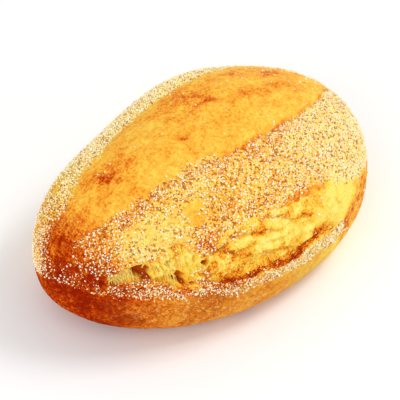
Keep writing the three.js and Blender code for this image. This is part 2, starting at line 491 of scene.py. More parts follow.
# Where the semolina lies thicker or thinner: (x, skin angle, half-length, half-angle, share added).
DUST_PATCHES = [
    (-37, 55, 11, 11, -0.5), (-20, 54, 12, 9, -0.4), (-21, 41, 5, 9, 0.5), (8, 50, 18, 13, 0.2),
    (-33, 44, 7, 6, -0.5), (-10, 42, 6, 6, -0.35), (13, 36, 9, 5.5, -0.5),
]

# A small browned ring beside the right end of the tear.
RING_X, RING_ANGLE, RING_RADIUS, RING_WIDTH = 32.7, 22.9, 1.5, 0.4


def spread_dust(clumps, flecks, x, angle, to_front):
    """Semolina on the skin outside the score, before its bare places are taken out."""
    lower, _ = burst_edges(x)
    dust = 0.76 + 0.42 * clumps + 0.42 * flecks
    dust += 0.45 * smoothstep(x, 14, 40) + 0.25 * bump(to_front + 4, 5)
    for at_x, at_angle, half_x, half_angle, share in DUST_PATCHES:
        dust += share * patch(x, angle, at_x, at_angle, half_x, half_angle)
    sparse = fall(x, -60, -50) * fall(angle, 84, 96)
    dust = mix(dust, 0.34 + 0.6 * flecks + 0.2 * clumps, sparse)
    cap = fall(x, -63.6, -62.4) * smoothstep(angle, 62, 78)
    dust = mix(dust, 0.6 + 0.5 * flecks, cap)
    dust -= 1.5 * patch(x, angle, -59.8, 80, 3.6, 20)
    thin = fall(x, -42, -22) * smoothstep(angle, 94, 100)
    dust = mix(dust, 0.62 + 0.6 * clumps + 0.6 * flecks, 0.8 * thin)
    dust -= 0.55 * patch(x, angle, -53, 131, 14, 14)
    dust += (0.15 + 0.5 * smoothstep(x, -8, 8)) * (angle < lower)
    return dust + 0.45 * smoothstep(angle, 100, 110)


def kept_share(p, clumps, flecks, x, angle):
    """0 in the bare places: the low side, the right end, the low back, the left tip and the tear."""
    lower, upper = burst_edges(x)
    low_limit = curve(DUST_LIMIT, x) + 3 * clumps + 2.5 * flecks
    kept = smoothstep(angle, low_limit - 2, low_limit + 2.5)
    limit = curve(RIGHT_LIMIT, x)
    below = fall(angle + 3 * flecks + 1.5 * clumps, limit - 1.5, limit + 1.5)
    past_band = smoothstep(x + 5 * flecks + 3 * clumps, 26, 35)
    past_band = np.maximum(smoothstep(angle, lower, lower + 1), past_band)
    kept *= 1 - 0.985 * smoothstep(x, 8, 15) * below * past_band
    kept *= fall(angle, 186 + 12 * clumps, 214 + 12 * clumps)
    tip = fall(x, -61.5, -59) * fall(p[..., 2] + 3 * flecks, 15, 19)
    kept *= 1 - tip
    under_lip = lower + 2 * cave(x)
    torn = smoothstep(angle, under_lip + 0.2, under_lip + 1.6)
    torn *= fall(angle, upper - 0.6, upper + 0.4)
    return kept * (1 - torn * (scar_opening(x) > 0.03))


def dust_density(p, x, angle):
    """Share of the skin that semolina covers."""
    front, back = score_edges(x)
    clumps = fractal(p, 7.0, 51)
    flecks = fractal(p, 2.2, 55, 2)
    spill = 2.6 * smoothstep(x, -50, -38) * fall(x, -8, 4) * (0.8 + clumps)
    to_front = (angle - front) * degree_length(x) - spill
    dust = spread_dust(clumps, flecks, x, angle, to_front) * kept_share(p, clumps, flecks, x, angle)
    soft = fall(x, -36, -14)
    back_edge = back - soft * (2.5 + 5 * flecks + 4 * clumps)
    scored = smoothstep(to_front, -0.4, 0.3) * fall(angle, back_edge - 0.5, back_edge + 0.3)
    few = 0.012 + 0.035 * smoothstep(x, 28, 44) + 0.07 * patch(x, angle, 56, 106, 6, 14)
    few += 0.3 * bump(to_front, 3.0) * (flecks > 0.45)
    return np.clip(mix(dust, few, scored * ends(x, SCORE_FRONT, 2.5)), 0, 1)


class Mottling:
    """The unevenness of the baked skin, from broad clouds to fine flecks."""

    def __init__(self, p):
        self.broad = fractal(p, 20.0, 61)
        self.mottle = fractal(p, 6.5, 65)
        self.fine = fractal(p, 2.2, 69)
        self.veins = 0.5 - np.abs(fractal(p * np.array([0.8, 1.0, 1.0]), 5.0, 67))
        self.streaks = fractal(p * np.array([0.35, 1.0, 1.0]), 3.0, 63)


def inside_score(x, angle):
    """1 on the swollen skin of the score, with soft edges on the left."""
    front, back = score_edges(x)
    soft = fall(x, -36, -14)
    blur = 7 * fall(x, -58, -44)
    inside = smoothstep(angle, front - 1 - blur, front + 2 + blur)
    inside *= fall(angle, back - mix(2, 9, soft), back + mix(1, 3, soft))
    return inside * ends(x, SCORE_FRONT, 2.0) * smoothstep(x, -63, -52)


def bloom_tone(n, x, angle):
    """Baking of the swollen skin inside the score."""
    tone = 0.355 + 0.05 * n.broad + 0.07 * n.mottle + 0.08 * n.fine + 0.06 * n.veins + 0.08 * n.streaks
    near_x = x + 2.5 * n.mottle
    near_angle = angle + 3 * n.fine + 3 * n.mottle
    for at_x, at_angle, half_x, half_angle, strength in SCORE_PATCHES:
        spot = cloud(near_x, near_angle, at_x, at_angle, half_x, half_angle)
        tone += 0.7 * strength * spot * (1 + 0.4 * n.fine + 0.5 * n.streaks)
    return tone


def skin_tone(n, x, angle):
    """Baking of the skin outside the score."""
    front, _ = score_edges(x)
    tone = 0.35 + 0.08 * n.broad + 0.12 * n.mottle + 0.12 * n.fine
    beside_score = bump((angle - front) * degree_length(x) + 2, 5) * smoothstep(x, -58, -44)
    tone += 0.22 * beside_score * (0.5 + 0.9 * n.mottle)
    tone = tone - 0.16 * patch(x, angle, -37, 53, 14, 14) - 0.2 * smoothstep(x, 20, 42)
    tone += 0.22 * patch(x + 2 * n.fine, angle + 3 * n.mottle, 15, 37, 10, 5)
    tone += 0.4 * cloud(x + 2 * n.fine, angle + 3 * n.mottle, -21, 37, 6, 5)
    tone -= 0.34 * patch(x + 2 * n.mottle, angle + 3 * n.mottle, 32, 22, 14, 20)
    return tone - 0.22 * smoothstep(angle, 100, 112)


def score_rim(n, x, angle):
    """A thin darker line in the crease along the right part of the score's front edge: painted shade of the
    crease, partly browning.
    """
    front, _ = score_edges(x)
    line = bump((angle - front) * degree_length(x) - 0.2, 1.3) * smoothstep(x, -4, 14)
    return 0.24 * line * ends(x, SCORE_FRONT, 2.0) * np.clip(0.8 + 1.2 * n.fine, 0, 1.4)


def left_end_share(n, x, angle):
    """1 on the dark left end, which stops along a slanted, uneven line."""
    low = fall(angle, 0, 20)
    place = x + 0.035 * (angle - 40) + 2.0 * n.broad + n.fine
    return fall(place, mix(-61, -62, low), mix(-42, -37, low))


def left_end_tone(n, x, angle, left):
    """Darkening of the left end, weaker over the top and weakest on the back."""
    strength = mix(0.52, 0.42, smoothstep(angle, 45, 95))
    strength *= 1 - 0.7 * smoothstep(angle + 8 * n.mottle, 95, 160)
    return strength * left + 0.22 * cloud(x + 2 * n.mottle, angle + 4 * n.mottle, -53, 36, 8, 17)


def side_tone(n, x, angle, left):
    """Darkening of the bare low side and of the lower lip of the burst."""
    lower, _ = burst_edges(x)
    low_limit = curve(DUST_LIMIT, x)
    onward = smoothstep(x, -28, 0)
    top = mix(lower + 2.5, low_limit + 5, onward) + 3 * n.broad
    side = fall(angle, np.minimum(low_limit + mix(1.0, -9.0, onward), top - 2), top)
    uneven = 0.10 * n.broad + 0.12 * n.mottle + 0.11 * n.fine
    lip = smoothstep(angle, lower - 8, lower - 2) * fall(angle, lower + 1, lower + 3)
    tone = side * mix(0.40, 0.10, smoothstep(x, -44, 30)) * (1 - 0.85 * left)
    tone += 0.3 * lip * fall(x, -18, 0) * (1 - left) * (1 + 0.8 * n.fine)
    tone += side * (1 - left) * uneven * (0.3 + 0.6 * bump(x + 6, 34))
    return tone - side * (0.05 * bump(x + 12, 22) + 0.16 * smoothstep(x, -4, 14))


def right_end_tone(n, x, angle):
    """Darkening of the bare right end, past a curved pale edge."""
    limit = curve(RIGHT_LIMIT, x)
    under = fall(angle + 3 * n.fine, limit - 3, limit + 1)
    pale_edge = 38.3 - 0.026 * (20 - np.clip(angle, 3, 20)) ** 2
    past_edge = smoothstep(x - pale_edge + 1.2 * n.mottle + 0.8 * n.fine, 0.0, 3.0)
    right = past_edge * under * smoothstep(angle + 6 * n.mottle, -48, -12)
    stripe = bump(angle - 5, 14) * np.exp(-(((x - 46.4) / 1.5) ** 2)) * np.clip(0.3 + 2 * n.fine, 0, 1)
    tone = right * (0.33 * (1 + 0.6 * n.fine) + 0.08 * stripe)
    return tone + 0.12 * cloud(x + n.fine, angle + 2 * n.fine, 42, 25, 2.5, 3.5)


def small_marks(n, x, angle):
    """The dark dots, the browned ring and a painted highlight along the crest of the short fold."""
    off_ring = np.hypot(x - RING_X, (angle - RING_ANGLE) * degree_length(x)) - RING_RADIUS
    # Painted highlight: the crest of the short fold is paled.
    tone = 0.3 * np.exp(-((off_ring / RING_WIDTH) ** 2)) - 0.22 * wrinkle(x, angle)
    for at_x, at_angle, strength in DARK_DOTS:
        tone += strength * cloud(x + 0.6 * n.fine, angle + n.fine, at_x, at_angle, 0.8, 1.2)
    return tone


def bake(p, x, angle):
    """How dark the skin is baked, with a little painted shade and a painted highlight: 0 is pale yellow, 0.5
    is gold and 1 is red-brown.
    """
    n = Mottling(p)
    left = left_end_share(n, x, angle)
    value = mix(skin_tone(n, x, angle), bloom_tone(n, x, angle), inside_score(x, angle))
    value += score_rim(n, x, angle) + small_marks(n, x, angle)
    value += left_end_tone(n, x, angle, left)
    value += side_tone(n, x, angle, left)
    value += right_end_tone(n, x, angle)
    value += 0.12 * patch(x, angle, -53, 131, 14, 14)
    value += 0.34 * smoothstep(angle + 8 * n.mottle, 184, 214)
    foot = 0.56 + 0.12 * n.broad + 0.12 * n.mottle + 0.1 * n.fine
    foot += 0.3 * fall(x + 2 * n.mottle, -63, -46)
    value = mix(value, foot, smoothstep(np.abs(angle - 90), 148, 176))
    tip = fall(x + 2.0 * n.mottle, -62, -50) * fall(p[..., 2] + 3 * n.mottle, 15, 28)
    value = mix(value, 0.86 + 0.06 * n.fine, tip)
    return np.clip(value + 0.12 * fall(p[..., 2], 0.5, 7.0), 0, 1)


def floury_film(x, angle, dust):
    """How strongly fine flour pales the skin between the grains."""
    lower, _ = burst_edges(x)
    film = 0.8 * smoothstep(x, 0, 45) + 0.7 * smoothstep(angle, 104, 114) * smoothstep(x, -50, -30)
    film += 0.9 * smoothstep(x, -8, 8) * fall(angle, lower - 1, lower + 1)
    film = np.clip(film, 0, 1) * smoothstep(dust, 0.1, 0.6)
    return np.clip(film + 0.4 * patch(x, angle, -36, 50, 16, 18), 0, 1)


def bloom_share(x, angle):
    """1 on the smooth skin of the score, for its sheen."""
    front, back = score_edges(x)
    inside = smoothstep(angle, front - 0.5, front + 1) * fall(angle, back - 1, back + 0.5)
    return inside * ends(x, SCORE_FRONT, 3.0)


def build_crust(centre):
    """The closed skin, and the shift in millimetres that centres it on the given place."""
    x = stations(STATIONS)
    angle, torn = crust_rows(x)
    across_x = np.broadcast_to(x[:, None], angle.shape)
    p = body(across_x, angle)
    height = base_height(across_x, angle) + skin_texture(p, across_x, angle) + torn
    off_floor = smoothstep(p[..., 2], 0.0, 2.5)
    points = p + outward(p) * (height * off_floor)[..., None]
    points[..., 2] = np.maximum(points[..., 2], 0)
    left, right = body(-LENGTH / 2, 0), body(LENGTH / 2, 0)
    shift = centre - (points.min((0, 1)) + points.max((0, 1))) / 2
    shift[2] = 0
    piece = tube("crust", points + shift, left + shift, right + shift)
    dust = dust_density(p, across_x, angle)
    # The flour share marks the low front side: it places the pale flour flecks and a painted tan shade
    # there.
    flour = smoothstep(across_x, -60, -26) * fall(across_x, 14, 36) * fall(angle, 0, 8)
    store(piece, "dust", dust)
    store(piece, "bake", bake(p, across_x, angle))
    # The depth share is used for painted shade down the torn lips.
    store(piece, "depth", np.clip(-torn, 0, 6) * fall(across_x, 18, 27))
    store(piece, "film", floury_film(across_x, angle, dust))
    store(piece, "flour", flour)
    store(piece, "bloom", bloom_share(across_x, angle))
    return piece, shift


# ---- Torn crumb ----

# Bubbles that tore open: (x, skin angle, half-length along x, half-length round, turn in degrees, depth).
BUBBLES = [
    (-43.4, 31.6, 2.6, 4.6, 12, 4.8), (-42.6, 24.6, 1.9, 2.6, 8, 3.2), (-49.4, 34.0, 0.9, 1.1, 0, 1.2),
    (-32.4, 21.8, 1.8, 2.1, -15, 3.0), (-31.4, 15.6, 1.3, 1.3, -35, 2.4), (-29.0, 13.6, 1.1, 0.9, -10, 1.8),
    (-23.6, 27.0, 1.3, 1.2, 0, 2.4), (-21.6, 25.2, 0.7, 0.9, 0, 1.2), (-17.8, 31.4, 2.6, 0.8, 6, 1.6),
    (-32.6, 44.0, 0.9, 1.0, 0, 1.4), (-29.6, 42.4, 1.5, 0.4, 15, 0.8), (-38.6, 31.0, 0.7, 1.6, 12, 1.2),
    (-36.2, 27.0, 0.6, 1.2, 0, 0.8), (-33.4, 34.0, 1.6, 0.8, 30, 0.9), (-14.0, 24.2, 1.0, 0.6, 0, 1.1),
    (1.4, 37.8, 1.2, 0.5, 0, 0.9), (14.9, 28.6, 1.1, 0.7, 0, 0.9), (9.5, 15.6, 1.7, 0.9, 10, 1.0),
]

# Creases between layers of stretched dough: points (x, skin angle), step height, groove depth, strength of
# the painted shade in the groove.
CREASES = [
    ([(-22.5, 30.5), (-19.6, 32.4), (-16.9, 31.0), (-14.5, 28.0), (-12.0, 24.0)], 1.0, 1.3, 0.75),
    ([(-17.5, 34.6), (-12.6, 36.4), (-8.6, 35.6), (-3.5, 32.4), (0.5, 31.5), (4.4, 28.0)], 1.3, 0.7, 0.6),
    ([(-1.6, 38.4), (1.6, 37.6), (6.0, 34.6), (10.0, 31.4), (15.0, 28.6), (20.0, 26.4)], 1.0, 0.6, 0.5),
    ([(-8.0, 22.6), (-2.0, 21.0), (3.0, 18.4), (7.2, 15.4), (12.5, 14.4), (18.0, 15.4)], 1.3, 0.8, 0.55),
    ([(2.0, 12.0), (8.0, 12.0), (14.0, 13.4), (20.0, 14.6), (27.0, 12.0)], 0.5, 0.2, 0.35),
    ([(-24.0, 20.0), (-20.5, 16.5), (-16.0, 14.6), (-11.0, 14.6)], 0.7, 0.8, 0.5),
    ([(-12.0, 28.6), (-7.0, 27.6), (-2.0, 26.6), (3.0, 24.6), (8.0, 23.4)], 0.7, 0.4, 0.3),
]

# Hills of the crumb: (x, skin angle, half-length along x, half-length round, height).
HILLS = [
    (-15.5, 21.5, 9.0, 8.0, 1.9), (-38.5, 28.0, 4.5, 7.0, 1.1), (-25.0, 17.0, 5.0, 5.0, 1.6),
    (26.0, 20.0, 13.0, 13.0, 0.5), (3.0, 25.0, 12.0, 3.5, 0.5), (-48.0, 24.0, 4.0, 3.5, 0.6),
]

# Browner and paler spots of the crumb: (x, skin angle, half-length along x, half-length round, browning).
CRUMB_PATCHES = [
    (0, 12.5, 4.5, 5.0, 0.45), (15, 34, 9, 4.5, 0.3), (9, 37, 6, 3, 0.25), (-4, 32, 5, 3, 0.25),
    (-14, 10.0, 9, 3.0, 0.35), (-26.0, 18.0, 5, 6, 0.6), (9.7, 15.4, 3.5, 2.5, 0.3), (30, 26, 9, 12, -0.1),
    (20, 12, 6, 5, 0.3), (22, 30, 4, 3, 0.12), (-18, 33, 6, 3, 0.25), (-13, 36, 4, 3, 0.2),
    (3, 20, 5, 2, 0.2), (26, 9, 4, 4, 0.25),
]

# The middle of the browned band above the lower lip: (x, skin angle).
CARAMEL = [
    (-22, 11.0), (-14, 8.6), (-5, 9.0), (3.4, 6.8), (8.5, 6.2), (12, 7.8), (16, 11.5), (19.5, 12.5),
    (23, 10.0), (28, 5.4),
]

CRUMB_STATIONS, CRUMB_ROWS = 430, 86
CRUMB_LEFT, CRUMB_RIGHT = -55.5, 34.8
CRUMB_ENDS = [(CRUMB_LEFT, 0), (CRUMB_RIGHT, 0)]
CARAMEL_ENDS = [(-22, 0), (29, 0)]
CRUMB_DEPTH = 8.5  # how far the crumb piece reaches into the roll
MID_ANGLE = 20.0  # skin angle half-way up the burst


def crease_distance(x, angle, points):
    """Signed distance in millimetres from a crease, and a fade past its two ends."""
    line = curve(points, x)
    distance = (angle - line) * degree_length(x)
    start, end = points[0][0], points[-1][0]
    return distance, smoothstep(x, start - 1.5, start + 1.5) * fall(x, end - 2.5, end + 1.5)


class CrumbSurface:
    """Height in millimetres, browning with painted shade, and hollowness of the torn crumb, built up layer
    by layer.
    """

    def __init__(self, p, x, angle):
        self.p = p
        self.x = x
        self.angle = angle
        self.lower, self.upper = burst_edges(x)
        self.size = degree_length(x)
        self.left = fall(x, -27, -12)
        self.broad = fractal(p, 6.0, 71)
        self.fine = fractal(p, 1.8, 77)
        self.rough = fractal(p, 1.1, 99, 3)
        self.height = self.sunken()
        self.toast = mix(0.12, 0.04, self.left) + 0.2 * self.broad + 0.16 * self.fine
        self.hollow = np.zeros_like(self.height)
        self.add_hills()
        self.add_creases()
        self.add_bubbles()
        self.add_webs()
        self.add_fibres()
        self.add_browning()
        self.meet_lips()

    def patch(self, *place):
        """A soft oval spot of the surface."""
        return patch(self.x, self.angle, *place)

    def sunken(self):
        """The open hollow on the left and the shallow bowl on the right."""
        share = np.clip((self.angle - self.lower) / (self.upper - self.lower), 0, 1)
        bowl = np.maximum(4 * share * (1 - share), 0) ** 0.6
        slope = smoothstep(share, 1.0, 0.3) * smoothstep(share, -0.05, 0.12)
        hole = mix(-0.2 - 1.7 * slope, -0.5 - 1.5 * bowl, cave(self.x))
        return self.left * hole - (1 - self.left) * 0.15 * bowl

    def add_hills(self):
        """Raises the round hills."""
        for at_x, at_angle, half_x, half_angle, rise in HILLS:
            r = np.hypot((self.x - at_x) / half_x, (self.angle - at_angle) / half_angle)
            self.height += rise * fall(r, 0.0, 1.0)

    def add_creases(self):
        """Raises a sharp ridge above each crease, cuts a groove below it and paints shade into the groove.
        """
        uneven = np.clip(0.5 + 1.2 * self.fine + 0.6 * self.broad, 0, 1.4)
        for points, step, groove, brown in CREASES:
            distance, fade = crease_distance(self.x, self.angle, points)
            distance += 0.6 * along(self.x, 3.5, 75 + len(points), 3)
            slow, sharp = np.exp(-np.abs(distance) / 2.4), np.exp(-((distance / 0.5) ** 2))
            ridge = np.where(distance > 0, slow, sharp)
            cut = np.exp(-(((distance + 0.8) / 0.85) ** 2))
            crease_shade = np.exp(-(((distance + 0.5) / 1.9) ** 2)) * uneven
            self.height += fade * (step * ridge - groove * cut)
            # Painted shade darkens the groove below each crease, as strongly as its brown value says.
            self.toast += 0.8 * fade * brown * crease_shade

    def add_bubbles(self):
        """Sinks the torn bubbles, each with a dented rim, and marks them hollow for the painted shade inside
        them.
        """
        dented = 1 + 0.5 * fractal(self.p, 2.0, 81)
        for at_x, at_angle, half_x, half_round, turn, deep in BUBBLES:
            u, v = self.x - at_x, (self.angle - at_angle) * self.size
            c, s = math.cos(math.radians(turn)), math.sin(math.radians(turn))
            r = np.hypot((c * u + s * v) / half_x, (c * v - s * u) / half_round) * dented
            pit = fall(r, 0.45, 1.15)
            self.height -= deep * pit
            self.hollow = np.maximum(self.hollow, pit * min(deep / 2.6, 1.0))

    def add_webs(self):
        """Walls between small stretched cells, on the left and on the mound, with painted shade in the
        deeper cells.
        """
        v = (self.angle - MID_ANGLE) * self.size
        wall, tone = cell_walls(self.x / 1.5 + 0.3 * self.fine, v / 2.9 + 0.3 * self.broad, 101)
        webbed = self.left * fall(np.abs(self.x + 38), 13, 17)
        webbed += 0.75 * self.patch(-16, 22, 11, 11)
        self.height -= webbed * (0.2 + 0.8 * tone * tone) * wall
        # Painted shade: the deeper cells are darkened and marked hollow.
        self.hollow = np.maximum(self.hollow, webbed * wall * np.clip(1.5 * tone - 0.8, 0, 1) * 0.6)
        self.toast += 0.22 * webbed * wall * tone

    def add_fibres(self):
        """Upright fibres on the left and on the mound, and torn shreds along the right, with painted shade
        in their low parts.
        """
        left, right = self.left, 1 - self.left
        mound = self.patch(-16, 21, 11, 11)
        fibres = fractal(self.p * np.array([1.0, 0.2, 0.2]), 0.95, 91, 2)
        shreds = fractal(self.p * np.array([0.16, 1.0, 1.0]), 1.5, 95, 3)
        stripes = along(self.x + 0.05 * (self.angle - 25), 0.9, 89, 2)
        walls = left * fall(np.abs(self.x + 42), 10, 14)
        torn = right * (0.6 * shreds + 0.22 * self.rough) * (1 - 0.8 * self.patch(29, 20, 13, 15))
        self.height += left * (0.34 * fibres + 0.22 * self.rough) + torn
        self.height += 0.35 * walls * stripes + 0.5 * mound * fibres
        # Painted shade: darker in the low parts of the upright stripes.
        self.toast += 0.8 * walls * np.clip(-stripes - 0.05, 0, 0.5)
        self.toast += 0.26 * mound * (1 + 2.0 * self.rough)
        # Painted shade: darker in the low parts of the fibres and shreds.
        self.toast += 0.25 * np.maximum(left, mound) * np.clip(-fibres, 0, 1)
        self.toast += 0.27 * right * np.clip(-shreds, 0, 1)

    def add_browning(self):
        """The browner and paler spots, and the raised browned band above the lower lip."""
        x, fine = self.x, self.fine
        near_x, near_angle = x + 1.5 * self.broad + fine, self.angle + 2.5 * fine
        for at_x, at_angle, half_x, half_angle, strength in CRUMB_PATCHES:
            spot = cloud(near_x, near_angle, at_x, at_angle, half_x, half_angle)
            self.toast += strength * spot * (1 + 0.9 * fine)
        off_band = (self.angle - curve(CARAMEL, x)) * self.size - 0.5 * along(x, 5.0, 83, 2)
        width = 1.7 + 1.1 * bump(x - 19, 9) + 1.2 * bump(x - 3, 8)
        band = np.exp(-((off_band / width) ** 2)) * ends(x, CARAMEL_ENDS, 5.0)
        band *= np.clip(0.85 + 0.5 * along(x, 7.0, 85, 2), 0.5, 1.1)
        self.toast += band * (1.1 + 0.6 * fine)
        self.height += 0.3 * band * self.rough

    def meet_lips(self):
        """Takes the crumb down under both lips and darkens it next to them on the left."""
        open_share = cave(self.x)
        outside = np.maximum(self.lower - self.angle, self.angle - self.upper) * self.size
        self.height -= open_share * 1.2 * smoothstep(outside, -0.8, 1.0)
        self.height -= (1 - open_share) * 1.3 * smoothstep(outside, 0.1, 1.9)
        near_lip = np.exp(-np.clip(-outside, 0, None) / 0.8)
        low = fall((self.angle - self.lower) * self.size, 1.2, 3.0)
        self.toast += self.left * (0.3 * near_lip + 0.4 * low)

    def browning(self):
        """Browning and painted shade from 0 to 1, with the strongest places held back."""
        toast = np.maximum(self.toast, 0)
        return np.clip(toast / (1 + 0.4 * toast), 0, 1)


def crumb_dust(p, x, angle):
    """Share of the crumb that semolina covers: thick near the lips and on a few islands."""
    lower, upper = burst_edges(x)
    flecks = fractal(p, 2.2, 55, 2)
    over_low = (angle - lower) * degree_length(x)
    under_high = (upper - angle) * degree_length(x)
    left = fall(x, -27, -12)
    low_side = left * fall(over_low, 0.1, 0.8)
    edge = fall(under_high, mix(1.5, 0.3, left), mix(3.5, 1.6, left))
    edge = np.maximum(edge, fall(np.minimum(over_low, under_high), 0.1, mix(0.7, 1.0, left)))
    dust = 0.03 + 0.75 * low_side + 0.5 * edge * (flecks > -0.1)
    dust += 0.8 * patch(x, angle, -25.5, 18, 4.2, 7) + 0.35 * patch(x, angle, -12, 34, 5, 3.5)
    dust *= fall(x, 22, 28) * (1 - 0.8 * patch(x, angle, 16, 35, 10, 5))
    return np.clip(dust, 0, 1)


def build_crumb(shift):
    """A thick closed slab whose outer side is the torn crumb."""
    x = np.linspace(CRUMB_LEFT, CRUMB_RIGHT, CRUMB_STATIONS)
    lower, upper = burst_edges(x)
    margin = mix(2.4, 1.6, cave(x)) / degree_length(x)
    start, end = lower - margin, upper + margin
    angle = start[:, None] + (end - start)[:, None] * np.linspace(0, 1, CRUMB_ROWS)[None]
    across_x = np.broadcast_to(x[:, None], angle.shape)
    p = body(across_x, angle)
    surface = CrumbSurface(p, across_x, angle)
    dust = crumb_dust(p, across_x, angle) * (surface.hollow < 0.1)
    height = surface.height + base_height(across_x, angle) - 2.0 * (1 - ends(across_x, CRUMB_ENDS, 6.0))
    points = p + outward(p) * height[..., None]
    deep = p - outward(p) * CRUMB_DEPTH
    inner = [deep[:, row][:, None] for row in (CRUMB_ROWS - 1, CRUMB_ROWS // 2, 0)]
    rings = np.concatenate([points, *inner], 1) + shift
    piece = tube("torn_crumb", rings, rings[0].mean(0), rings[-1].mean(0))
    values = {
        "toast": surface.browning(), "hollow": surface.hollow, "along": across_x * MM,
        "round": (angle - MID_ANGLE) * DEGREE_LENGTH * MM, "depth": np.clip(-height, 0, 6),
    }
    for name, outer in values.items():
        store(piece, name, np.concatenate([outer, np.repeat(outer[:, :1], 3, 1)], 1))
    store(piece, "dust", np.concatenate([dust, np.zeros((len(x), 3))], 1))
    return piece


# Where threads hang together: (x, spread along x, how far down they reach).
THREAD_GROUPS = [
    (-52.0, 0.9, 0.95), (-50.6, 0.6, 0.95), (-49.2, 0.7, 0.95), (-47.9, 0.5, 0.95), (-50.0, 1.6, 0.95),
    (-39.4, 0.5, 0.9), (-37.6, 0.7, 0.8), (-35.6, 0.6, 0.6), (-38.0, 1.6, 0.9), (-31.0, 0.7, 0.6),
    (-15.0, 3.0, 0.35),
]

THREADS, THREAD_STEPS, THREAD_SIDES = 250, 9, 5


def hanging_thread(rng):
    """Middle line and radii of one thread that hangs down from the upper lip."""
    middle, spread, deepest = THREAD_GROUPS[rng.integers(len(THREAD_GROUPS))]
    t = np.linspace(0, 1, THREAD_STEPS)
    top_x = middle + rng.normal(0, spread)
    lean = rng.normal(0, 1.3)
    x = top_x + lean * t + 0.25 * np.sin(6 * t + rng.uniform(0, 6))
    lower, upper = burst_edges(x)
    reach_down = rng.uniform(0.3, 1.0) * deepest
    angle = upper + 0.8 / degree_length(x) - (upper - lower) * reach_down * t
    sag = rng.uniform(0.0, 0.4)
    start_depth, end_depth = rng.uniform(-1.6, -0.3), rng.uniform(-2.4, -1.4)
    height = mix(start_depth, end_depth, t**1.3) - sag * 4 * t * (1 - t)
    radii = rng.uniform(0.10, 0.24) * (0.6 + 0.8 * (2 * t - 1) ** 2)
    line = body(x, angle)
    return line + outward(line) * height[:, None], radii


def rings_round(line, radii):
    """Rings of points around a line."""
    direction = unit(np.gradient(line, axis=0))
    side = unit(np.cross(direction, outward(line)))
    other = np.cross(direction, side)
    turn = (2 * math.pi * np.arange(THREAD_SIDES) / THREAD_SIDES)[None, :, None]
    around = np.cos(turn) * side[:, None] + np.sin(turn) * other[:, None]
    return line[:, None] + radii[:, None, None] * around


def build_strands(shift):
    """Fine threads of dough that still bridge the open part of the tear."""
    rng = np.random.default_rng(5)
    threads = []
    for _ in range(THREADS):
        line, radii = hanging_thread(rng)
        rings = rings_round(line, radii) + shift
        threads.append(tube("thread", rings, line[0] + shift, line[-1] + shift))
    return join("crumb_strands", threads)


def join(name, pieces):
    """One plain mesh object made of several."""
    co, faces = [], []
    for piece in pieces:
        mesh = piece.data
        base = len(co)
        co += [tuple(v.co) for v in mesh.vertices]
        faces += [[base + i for i in f.vertices] for f in mesh.polygons]
        bpy.data.objects.remove(piece)
        bpy.data.meshes.remove(mesh)
    mesh = bpy.data.meshes.new(name)
    mesh.from_pydata(co, [], faces)
    mesh.polygons.foreach_set("use_smooth", np.ones(len(faces), bool))
    return add_object(name, mesh)


# ---- Nodes ----


def pick(sockets, name):
    """The socket in this place, or the first with this name that the node's settings leave in use."""
    if isinstance(name, int):
        return sockets[name]
    return next(s for s in sockets if s.name == name and s.enabled)


class Wiring:
    """Adds nodes to a tree and feeds their inputs."""

    def __init__(self, tree):
        self.nodes = tree.nodes
        self.link = tree.links.new

    def feed(self, socket, value):
        """Links the output of another node to the socket, or gives it a plain value."""
        if isinstance(value, bpy.types.NodeSocket):
            self.link(value, socket)
        else:
            socket.default_value = value

    def add(self, kind, inputs=None, **settings):
        """A new node with its settings, and its inputs given by name or place."""
        node = self.nodes.new(kind)
        for name, value in settings.items():
            setattr(node, name, value)
        for name, value in (inputs or {}).items():
            self.feed(pick(node.inputs, name), value)
        return node


# ---- Semolina ----

GRAIN_SHAPES = 9

# Kinds of grain: (name, most grains per square millimetre, height of their middles in mm, seed).
GRAIN_KINDS = [("coarse", 1.9, 0.12, 7), ("fine", 1.5, 0.06, 17)]

# The crust's grains are scattered in a front and a back piece, which meet at this y in millimetres.
FRONT_BACK_Y = 2.0

# Inputs of the scatter tree: (name, kind of socket).
SCATTER_INPUTS = [
    ("Surface", "Geometry"), ("Grains", "Collection"), ("Spacing", "Float"), ("Density", "Float"),
    ("Smallest", "Float"), ("Largest", "Float"), ("Lift", "Float"), ("Seed", "Int"), ("Cover", "String"),
    ("Finish", "Material"),
]


def grain_shapes(folder):
    """Puts chipped grains of about one unit across into the folder, each with twenty faces."""
    golden = (1 + math.sqrt(5)) / 2
    corners = []
    for a in (-1, 1):
        for b in (-golden, golden):
            corners += [(0, a, b), (a, b, 0), (b, 0, a)]
    corners = np.array(corners) / math.hypot(1, golden) / 2
    rng = np.random.default_rng(3)
    for n in range(GRAIN_SHAPES):
        co = corners * rng.uniform(0.72, 1.18, (12, 1)) * rng.uniform((0.8, 0.7, 0.55), (1.2, 1.0, 0.9))
        mesh = bpy.data.meshes.new(f"grain_{n}")
        mesh.from_pydata([tuple(c) for c in co], [], convex_faces(co))
        folder.objects.link(bpy.data.objects.new(f"grain_{n}", mesh))


def convex_faces(co):
    """Faces of the hull of a few points, pointing outwards."""
    bm = bmesh.new()
    vertices = [bm.verts.new(c) for c in co]
    bmesh.ops.convex_hull(bm, input=vertices)
    bm.verts.index_update()
    bmesh.ops.recalc_face_normals(bm, faces=bm.faces[:])
    faces = [[v.index for v in f.verts] for f in bm.faces]
    bm.free()
    return faces


